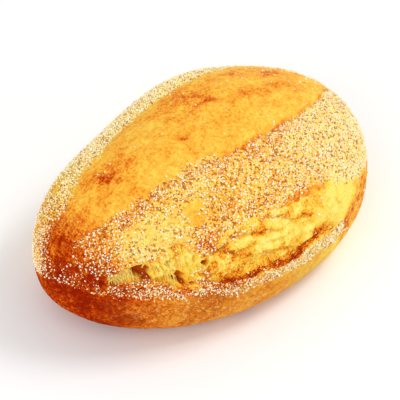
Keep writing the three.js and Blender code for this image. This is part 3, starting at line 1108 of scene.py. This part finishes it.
def scatter_tree():
    """Geometry Nodes that scatter grains over a surface, thick where its cover attribute is high."""
    tree = bpy.data.node_groups.new("scatter_semolina", "GeometryNodeTree")
    for name, kind in SCATTER_INPUTS:
        tree.interface.new_socket(name, in_out="INPUT", socket_type="NodeSocket" + kind)
    tree.interface.new_socket("Semolina", in_out="OUTPUT", socket_type="NodeSocketGeometry")
    add = Wiring(tree).add
    given = add("NodeGroupInput").outputs

    def chance(low, high, step, kind="FLOAT"):
        """A random value for each grain; each use takes its own step on from the seed."""
        seed = add("ShaderNodeMath", {0: given["Seed"], 1: step}, operation="ADD").outputs[0]
        made = add("FunctionNodeRandomValue", {"Min": low, "Max": high, "Seed": seed}, data_type=kind)
        return next(s for s in made.outputs if s.enabled)

    cover = add("GeometryNodeInputNamedAttribute", {"Name": given["Cover"]}, data_type="FLOAT")
    spread = add("GeometryNodeDistributePointsOnFaces", {
        "Mesh": given["Surface"], "Distance Min": given["Spacing"], "Density Max": given["Density"],
        "Density Factor": cover.outputs["Attribute"], "Seed": given["Seed"],
    }, distribute_method="POISSON")
    tone = add("GeometryNodeStoreNamedAttribute", {
        "Geometry": spread.outputs["Points"], "Name": "tone", "Value": chance(0.0, 1.0, 1),
    }, data_type="FLOAT", domain="POINT")
    lift = {0: spread.outputs["Normal"], "Scale": given["Lift"]}
    raised = add("ShaderNodeVectorMath", lift, operation="SCALE")
    lifted = add("GeometryNodeSetPosition", {"Geometry": tone.outputs[0], "Offset": raised.outputs[0]})
    kinds = add("GeometryNodeCollectionInfo", {
        "Collection": given["Grains"], "Separate Children": True, "Reset Children": True,
    })
    placed = add("GeometryNodeInstanceOnPoints", {
        "Points": lifted.outputs[0], "Instance": kinds.outputs[0], "Pick Instance": True,
        "Instance Index": chance(0, 50, 2, "INT"),
        "Rotation": chance((0.0, 0.0, 0.0), (math.tau, math.tau, math.tau), 3, "FLOAT_VECTOR"),
        "Scale": chance(given["Smallest"], given["Largest"], 4),
    })
    real = add("GeometryNodeRealizeInstances", {"Geometry": placed.outputs[0]})
    finish = add("GeometryNodeSetMaterial", {"Geometry": real.outputs[0], "Material": given["Finish"]})
    add("NodeGroupOutput", {0: finish.outputs[0]})
    return tree


def scatter(name, host, values):
    """Runs the scatter tree on a copy of the host and keeps the grains as a plain mesh."""
    tree = bpy.data.node_groups.get("scatter_semolina") or scatter_tree()
    carrier = add_object(name + "_carrier", host.data.copy())
    modifier = carrier.modifiers.new("scatter", "NODES")
    modifier.node_group = tree
    named = {s.name: s.identifier for s in tree.interface.items_tree if s.in_out == "INPUT"}
    for key, value in values.items():
        modifier[named[key]] = value
    bpy.context.view_layer.update()
    evaluated = carrier.evaluated_get(bpy.context.evaluated_depsgraph_get())
    mesh = bpy.data.meshes.new_from_object(evaluated)
    mesh.name = name
    carrier_mesh = carrier.data
    bpy.data.objects.remove(carrier)
    bpy.data.meshes.remove(carrier_mesh)
    if not len(mesh.polygons):
        raise RuntimeError(f"{name}: no grain was scattered")
    return add_object(name, mesh)


def split_cover(crust):
    """Copies the crust's dust to one attribute for its front side and one for its back side."""
    co = np.empty(len(crust.data.vertices) * 3)
    crust.data.vertices.foreach_get("co", co)
    y = co.reshape(-1, 3)[:, 1] / MM
    dust = np.empty(len(y), np.float32)
    crust.data.attributes["dust"].data.foreach_get("value", dust)
    for name, share in (("dust_front", y < FRONT_BACK_Y), ("dust_back", y >= FRONT_BACK_Y)):
        cover = crust.data.attributes.new(name, "FLOAT", "POINT")
        cover.data.foreach_set("value", (dust * share).astype(np.float32))


def scatter_semolina(crust, crumb, settings):
    """Coarse and fine grains on the crust's two sides and in the tear."""
    folder = bpy.data.collections.new("grain_shapes")
    grain_shapes(folder)
    finish = semolina_finish(settings.semolina_colour)
    split_cover(crust)
    parts = (("front", crust, "dust_front"), ("back", crust, "dust_back"), ("tear", crumb, "dust"))
    for part, host, cover in parts:
        for kind, density, lift, seed in GRAIN_KINDS:
            piece = scatter(f"semolina_{kind}_{part}", host, {
                "Grains": folder, "Finish": finish, "Cover": cover, "Seed": seed,
                "Density": density / MM**2, "Lift": lift * MM,
                "Spacing": getattr(settings, kind + "_spacing"),
                "Smallest": getattr(settings, kind + "_smallest"),
                "Largest": getattr(settings, kind + "_largest"),
            })
            finish_piece(piece)
    for shape in list(folder.objects):
        bpy.data.objects.remove(shape)
    bpy.data.collections.remove(folder)


# ---- Materials ----


def colour(red, green, blue):
    """A colour given as 0 to 255 in sRGB, as the linear values that Blender uses."""
    linear = [c / 255 / 12.92 if c <= 10 else ((c / 255 + 0.055) / 1.055) ** 2.4 for c in (red, green, blue)]
    return (*linear, 1.0)


class Finish(Wiring):
    """A node material that is put together step by step; sizes are in millimetres."""

    def __init__(self, name):
        self.material = bpy.data.materials.new(name)
        self.material.use_nodes = True
        super().__init__(self.material.node_tree)
        self.place = self.add("ShaderNodeTexCoord").outputs["Object"]

    def done(self, inputs):
        """Feeds the shader and returns the material."""
        shader = self.nodes["Principled BSDF"]
        for name, value in inputs.items():
            self.feed(shader.inputs[name], value)
        return self.material

    def attribute(self, name):
        """One of the numbers that the mesh keeps for each point."""
        return self.add("ShaderNodeAttribute", attribute_name=name).outputs["Fac"]

    def chart(self, first, second):
        """A place on the surface made from two of the mesh's own attributes."""
        inputs = {0: self.attribute(first), 1: self.attribute(second)}
        return self.add("ShaderNodeCombineXYZ", inputs).outputs[0]

    def wobble(self, size, amount):
        """Shifts the place by noise, so that patterns made from it get uneven edges."""
        noise = self.add("ShaderNodeTexNoise", {"Scale": 1 / (size * MM), "Vector": self.place})
        inputs = {0: noise.outputs["Color"], 1: (amount * MM,) * 3, 2: self.place}
        self.place = self.add("ShaderNodeVectorMath", inputs, operation="MULTIPLY_ADD").outputs[0]

    def noise(self, size, detail=3.0, roughness=0.55, stretch=None, distortion=0.0):
        """Soft noise from 0 to 1, drawn out where a stretch is below 1."""
        place = self.place
        if stretch:
            place = self.add("ShaderNodeMapping", {"Scale": stretch, "Vector": place}).outputs[0]
        return self.add("ShaderNodeTexNoise", {
            "Scale": 1 / (size * MM), "Detail": detail, "Roughness": roughness, "Distortion": distortion,
            "Vector": place,
        }).outputs["Fac"]

    def cells(self, size):
        """A pattern of random cells."""
        return self.add("ShaderNodeTexVoronoi", {"Scale": 1 / (size * MM), "Vector": self.place})

    def cell_distance(self, size):
        """Distance from the middles of random cells, as a share of their size."""
        return self.cells(size).outputs["Distance"]

    def cell_tone(self, size):
        """A random number for each cell."""
        return self.add("ShaderNodeSeparateColor", {0: self.cells(size).outputs["Color"]}).outputs[0]

    def math(self, operation, a, b, c=0.0):
        """Works out a number from plain numbers or the outputs of other nodes."""
        return self.add("ShaderNodeMath", {0: a, 1: b, 2: c}, operation=operation).outputs[0]

    def plus(self, a, b):
        """The sum of both."""
        return self.math("ADD", a, b)

    def times(self, a, b):
        """One times the other."""
        return self.math("MULTIPLY", a, b)

    def remap(self, value, low, high, to_low=0.0, to_high=1.0):
        """Smoothly turns the range from low to high into the range from to_low to to_high."""
        return self.add("ShaderNodeMapRange", {
            "Value": value, "From Min": low, "From Max": high, "To Min": to_low, "To Max": to_high,
        }, interpolation_type="SMOOTHSTEP").outputs["Result"]

    def ramp(self, value, stops):
        """A colour for a value, from stops of (position, colour)."""
        node = self.add("ShaderNodeValToRGB", {"Fac": value})
        elements = node.color_ramp.elements
        while len(elements) < len(stops):
            elements.new(0.5)
        for element, (position, tint) in zip(elements, stops):
            element.position = position
            element.color = tint
        return node.outputs["Color"]

    def blend(self, share, a, b):
        """Colour a with a share of colour b over it."""
        node = self.add("ShaderNodeMix", data_type="RGBA")
        for name, value in (("Factor", share), ("A", a), ("B", b)):
            self.feed(pick(node.inputs, name), value)
        return next(s for s in node.outputs if s.enabled)

    def bump(self, height, distance, before=None):
        """Bumps made of a height pattern, on top of any earlier bumps."""
        inputs = {"Distance": distance * MM, "Height": height}
        if before:
            inputs["Normal"] = before
        return self.add("ShaderNodeBump", inputs).outputs["Normal"]


def grey(value):
    """A grey from 0, black, to 1, white."""
    return (value, value, value, 1.0)


# Colours of the skin and of the crumb, from pale to dark: (browning, colour).
BAKED_STOPS = [
    (0.0, colour(255, 232, 110)), (0.22, colour(253, 208, 78)), (0.42, colour(250, 178, 52)),
    (0.58, colour(240, 142, 28)), (0.74, colour(216, 98, 14)), (0.87, colour(180, 56, 10)),
    (1.0, colour(144, 30, 4)),
]
CRUMB_STOPS = [
    (0.0, colour(255, 238, 128)), (0.2, colour(255, 214, 80)), (0.42, colour(251, 180, 46)),
    (0.62, colour(234, 114, 20)), (0.8, colour(204, 70, 8)), (1.0, colour(150, 40, 2)),
]
GRIT_STOPS = [(0.0, grey(1.0)), (0.2, grey(0.55)), (0.45, grey(0.35)), (1.0, grey(0.0))]


def crust_finish(film_colour):
    """Baked skin: mottled gold to red-brown, with flour, browned specks and painted shade between the
    grains, and painted shade on the low front and down the torn lips.
    """
    f = Finish("baked_crust")
    baked = f.attribute("bake")
    speckle = f.remap(f.noise(0.75, 1.5, 0.6), 0.3, 0.7, -1.0, 1.0)
    speckle = f.times(speckle, f.remap(baked, 0.7, 0.95, 1.0, 0.5))
    baked = f.plus(baked, f.times(speckle, f.remap(baked, 0.3, 0.7, 0.10, 0.14)))
    baked = f.plus(baked, f.remap(f.noise(1.6, 2, 0.6), 0.3, 0.7, -0.08, 0.08))
    f.wobble(0.45, 0.9)
    dusted = f.remap(f.attribute("dust"), 0.08, 0.6)
    grit = f.ramp(f.cell_tone(0.58), GRIT_STOPS)
    baked = f.plus(baked, f.times(dusted, f.math("MULTIPLY_ADD", grit, 0.5, -0.22)))
    base = f.ramp(baked, BAKED_STOPS)
    base = f.blend(f.times(f.attribute("film"), 0.4), base, film_colour)
    # Painted shade: dark orange-brown specks in the dusted places stand in for the shadows between the
    # grains, partly browned crust.
    shade = f.times(dusted, f.remap(f.cell_tone(0.66), 0.68, 0.78, 0.0, 0.8))
    base = f.blend(shade, base, colour(168, 66, 4))
    specks = f.remap(f.cell_distance(3.4), 0.04, 0.10, 1.0, 0.0)
    specks = f.times(specks, f.remap(f.noise(5.0), 0.5, 0.6, 0.0, 0.7))
    base = f.blend(specks, base, colour(120, 60, 22))
    # Painted shade: the low front side is tanned darker and browner.
    base = f.blend(f.times(f.attribute("flour"), 0.35), base, colour(210, 148, 44))
    flour = f.times(f.attribute("flour"), f.remap(f.cell_tone(0.8), 0.66, 0.74, 0.0, 0.45))
    base = f.blend(f.times(flour, f.remap(f.noise(3.0), 0.42, 0.58)), base, colour(250, 206, 120))
    # Painted shade: the torn lips turn orange-brown the deeper they reach into the burst.
    base = f.blend(f.remap(f.attribute("depth"), 0.6, 3.0), base, colour(196, 84, 10))
    coarse_bumps = f.bump(f.noise(2.6, 4, 0.6), 0.5)
    return f.done({
        "Base Color": base,
        "Roughness": f.remap(f.attribute("bloom"), 0, 1, 0.75, 0.55),
        "Specular IOR Level": f.remap(f.attribute("bake"), 0.6, 0.85, 0.12, 0.0),
        "Normal": f.bump(f.noise(0.7, 3, 0.6), 0.3, coarse_bumps),
    })


def crumb_finish(hollow_shade_colour):
    """Torn crumb: yellow fibres with browned places and painted shade, and painted shade in the bubbles and
    at the bottom.
    """
    f = Finish("torn_crumb")
    toast, depth = f.attribute("toast"), f.attribute("depth")
    grit = f.math("MULTIPLY_ADD", toast, 0.48, 0.08)
    toast = f.plus(toast, f.times(f.remap(f.noise(0.55, 4, 0.7), 0.3, 0.7, -1.0, 1.0), grit))
    f.place = f.chart("along", "round")
    fibre = f.noise(0.42, 3, 0.6, stretch=(1.0, 0.22, 1.0), distortion=0.6)
    # Painted shade: darker in the low parts of the fibre bumps.
    toast = f.plus(toast, f.remap(fibre, 0.3, 0.7, 0.10, -0.10))
    base = f.ramp(toast, CRUMB_STOPS)
    # Painted shade: a deeper, warmer yellow where the crumb lies lower.
    base = f.blend(f.remap(depth, 0.5, 2.2, 0.0, 0.55), base, colour(255, 208, 58))
    # Painted shade inside the bubbles and the deep cells, partly browned crumb.
    base = f.blend(f.remap(f.attribute("hollow"), 0.15, 0.8, 0.0, 0.85), base, hollow_shade_colour)
    # Painted shade: orange-brown at the bottom of the deepest hollows.
    base = f.blend(f.remap(depth, 3.0, 6.0, 0.0, 0.7), base, colour(206, 96, 12))
    normal = f.bump(fibre, 0.35, f.bump(f.noise(0.6, 4, 0.6), 0.3))
    return f.done({"Base Color": base, "Roughness": 0.7, "Specular IOR Level": 0.03, "Normal": normal})


def strand_finish(thread_colour):
    """Threads of dough: pale yellow with darker lengths."""
    f = Finish("dough_threads")
    base = f.ramp(f.noise(2.0, 3), [(0.3, thread_colour), (0.7, colour(240, 196, 84))])
    return f.done({"Base Color": base, "Roughness": 0.65, "Normal": f.bump(f.noise(0.4), 0.05)})


def semolina_finish(grain_colour):
    """Semolina: mostly pale grains, with a few that baked golden or brown."""
    f = Finish("semolina")
    stops = [
        (0.0, colour(196, 112, 44)), (0.06, colour(236, 168, 76)), (0.13, colour(254, 222, 130)),
        (0.28, colour(255, 244, 190)), (0.6, grain_colour),
    ]
    base = f.ramp(f.attribute("tone"), stops)
    base = f.blend(f.remap(f.noise(0.3, 2), 0.4, 0.7, 0.0, 0.2), base, colour(250, 208, 112))
    return f.done({"Base Color": base, "Roughness": 0.55, "Normal": f.bump(f.noise(0.25, 2), 0.04)})


def floor_finish():
    """A plain pale floor."""
    f = Finish("pale_floor")
    base = f.ramp(f.noise(400.0, 2), [(0.3, grey(0.93)), (0.7, grey(0.95))])
    return f.done({"Base Color": base, "Roughness": 0.9})


# ---- Stage ----

# The camera's angles in degrees and its distance in millimetres. It aims at a point that lies a little
# off the roll's middle, by the lengths right and up in its view.
CAMERA_AZIMUTH, CAMERA_ELEVATION = -35.0, 46.0
CAMERA_DISTANCE = 750.0
CAMERA_LENS, CAMERA_SENSOR = 192.8, 36.0
AIM_HEIGHT = 0.45 * HEIGHT
AIM_RIGHT, AIM_UP = -0.385, -3.185
FLOOR_HALF = 3.0  # metres, as are the distances and sizes of the lamps
STUDIO_STRENGTH = 0.72


def view_axes(azimuth, elevation):
    """Directions towards the camera, to its right and up in its view."""
    a, e = math.radians(azimuth), math.radians(elevation)
    back = Vector((math.sin(a) * math.cos(e), -math.cos(a) * math.cos(e), math.sin(e)))
    right = Vector((math.cos(a), math.sin(a), 0))
    return back, right, back.cross(right)


def turn_from(thing, direction):
    """Turns a camera or lamp so that it looks back along the direction."""
    thing.rotation_mode = "QUATERNION"
    thing.rotation_quaternion = direction.to_track_quat("Z", "Y")


def area_light(name, towards, distance, size, power):
    """A square lamp that stands in a direction from the roll and shines at it."""
    light = bpy.data.lights.new(name, "AREA")
    light.size = size
    light.energy = power
    lamp = add_object(name, light)
    direction = towards.normalized()
    lamp.location = direction * distance
    turn_from(lamp, direction)


def add_camera(shift, back, right, up):
    """The camera, which looks down at the torn side from the front left."""
    middle = Vector((shift[0], shift[1], AIM_HEIGHT))
    target = (middle + right * AIM_RIGHT + up * AIM_UP) * MM
    camera = bpy.data.cameras.new("camera")
    camera.lens = CAMERA_LENS
    camera.sensor_width = CAMERA_SENSOR
    camera.clip_start, camera.clip_end = 0.01, 20.0
    holder = add_object("camera", camera)
    holder.location = target + back * CAMERA_DISTANCE * MM
    turn_from(holder, back)
    bpy.context.scene.camera = holder


def add_floor():
    """A flat square floor under the roll."""
    mesh = bpy.data.meshes.new("floor")
    corners = [(-1, -1), (1, -1), (1, 1), (-1, 1)]
    mesh.from_pydata([(FLOOR_HALF * x, FLOOR_HALF * y, 0) for x, y in corners], [], [(0, 1, 2, 3)])
    mesh.materials.append(floor_finish())
    floor = add_object("floor", mesh)


def build_stage(shift):
    """The camera, the floor and a soft, even studio light."""
    back, right, up = view_axes(CAMERA_AZIMUTH, CAMERA_ELEVATION)
    add_camera(shift, back, right, up)
    add_floor()
    world = bpy.data.worlds.new("studio")
    world.use_nodes = True
    background = world.node_tree.nodes["Background"]
    background.inputs["Color"].default_value = grey(1.0)
    background.inputs["Strength"].default_value = STUDIO_STRENGTH
    bpy.context.scene.world = world
    area_light("key", up * 0.7 + right * 0.6 + back * 0.45, distance=0.9, size=0.3, power=3.1)
    area_light("fill", back * 0.9 - right * 0.45 - up * 0.25, distance=1.0, size=0.8, power=3.1)
    bpy.context.scene.view_settings.view_transform = "Standard"


# ---- Add-on ----

SHORTEST = 0.05 * MM  # the least that a length can be set to


def length_setting(label, description, millimetres):
    """A small length that a user can change."""
    default = millimetres * MM
    return bpy.props.FloatProperty(
        name=label, description=description, default=default, min=SHORTEST, precision=5, unit="LENGTH"
    )


def colour_setting(label, description, default):
    """A colour that a user can change."""
    return bpy.props.FloatVectorProperty(
        name=label, description=description, default=default, subtype="COLOR", size=4, min=0.0, max=1.0
    )


class RollSettings(bpy.types.PropertyGroup):
    """Grain sizes and colours of the roll."""

    coarse_smallest: length_setting("Smallest coarse grain", "Size of the smallest coarse grain", 0.5)
    coarse_largest: length_setting("Largest coarse grain", "Size of the largest coarse grain", 1.02)
    coarse_spacing: length_setting("Coarse spacing", "Least distance between two coarse grains", 0.64)
    fine_smallest: length_setting("Smallest fine grain", "Size of the smallest fine grain", 0.28)
    fine_largest: length_setting("Largest fine grain", "Size of the largest fine grain", 0.5)
    fine_spacing: length_setting("Fine spacing", "Least distance between two fine grains", 0.42)
    semolina_colour: colour_setting("Semolina", "Colour of the palest grains", colour(255, 252, 226))
    film_colour: colour_setting("Flour", "Colour of the flour between the grains", colour(255, 240, 158))
    # Painted shade inside the torn bubbles, partly browned crumb.
    hollow_shade_colour: colour_setting("Bubbles", "Colour inside the torn bubbles", colour(206, 84, 8))
    thread_colour: colour_setting("Threads", "Palest colour of the dough threads", colour(255, 232, 124))


def finished(piece, material):
    """Gives the piece its one material and its place in the roll."""
    piece.data.materials.clear()
    piece.data.materials.append(material)
    return finish_piece(piece)


# What one operator leaves for the next: the shift in millimetres, the crust and the crumb.
state = {}


class ROLL_OT_crust(bpy.types.Operator):
    """Make the baked skin with its score and its torn lips"""

    bl_idname = "roll.crust"
    bl_label = "Crust"

    def execute(self, context):
        low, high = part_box("bread_roll")
        centre = np.array((low + high) / 2) / MM
        piece, state["shift"] = build_crust(centre)
        finished(piece, crust_finish(context.scene.roll_settings.film_colour))
        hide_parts("bread_roll")
        state["crust"] = piece
        return {"FINISHED"}


class ROLL_OT_crumb(bpy.types.Operator):
    """Make the torn crumb in the burst"""

    bl_idname = "roll.crumb"
    bl_label = "Torn Crumb"

    def execute(self, context):
        finish = crumb_finish(context.scene.roll_settings.hollow_shade_colour)
        state["crumb"] = finished(build_crumb(state["shift"]), finish)
        return {"FINISHED"}


class ROLL_OT_threads(bpy.types.Operator):
    """Hang threads of dough across the open part of the tear"""

    bl_idname = "roll.threads"
    bl_label = "Threads"

    def execute(self, context):
        finished(build_strands(state["shift"]), strand_finish(context.scene.roll_settings.thread_colour))
        return {"FINISHED"}


class ROLL_OT_semolina(bpy.types.Operator):
    """Scatter coarse and fine semolina over the skin and into the tear"""

    bl_idname = "roll.semolina"
    bl_label = "Semolina"

    def execute(self, context):
        scatter_semolina(state["crust"], state["crumb"], context.scene.roll_settings)
        return {"FINISHED"}


class ROLL_OT_stage(bpy.types.Operator):
    """Set up the floor, the light and the camera"""

    bl_idname = "roll.stage"
    bl_label = "Stage"

    def execute(self, context):
        build_stage(state["shift"])
        return {"FINISHED"}


class ROLL_PT_panel(bpy.types.Panel):
    """The settings and the steps, in the order in which they are done"""

    bl_idname = "ROLL_PT_panel"
    bl_label = "Bread Roll"
    bl_space_type = "VIEW_3D"
    bl_region_type = "UI"
    bl_category = "Bread Roll"

    def draw(self, context):
        settings = context.scene.roll_settings
        for name in RollSettings.__annotations__:
            self.layout.prop(settings, name)
        for operator in OPERATORS:
            self.layout.operator(operator.bl_idname)


OPERATORS = (ROLL_OT_crust, ROLL_OT_crumb, ROLL_OT_threads, ROLL_OT_semolina, ROLL_OT_stage)
CLASSES = (RollSettings, *OPERATORS, ROLL_PT_panel)


def register():
    """Makes the operators, the panel and the settings known to Blender."""
    for cls in CLASSES:
        bpy.utils.register_class(cls)
    bpy.types.Scene.roll_settings = bpy.props.PointerProperty(type=RollSettings)


def unregister():
    """Takes them out again."""
    del bpy.types.Scene.roll_settings
    for cls in reversed(CLASSES):
        bpy.utils.unregister_class(cls)


def main():
    """Makes the whole roll."""
    register()
    bpy.ops.roll.crust()
    bpy.ops.roll.crumb()
    bpy.ops.roll.threads()
    bpy.ops.roll.semolina()
    bpy.ops.roll.stage()


if __name__ == "__main__":
    main()
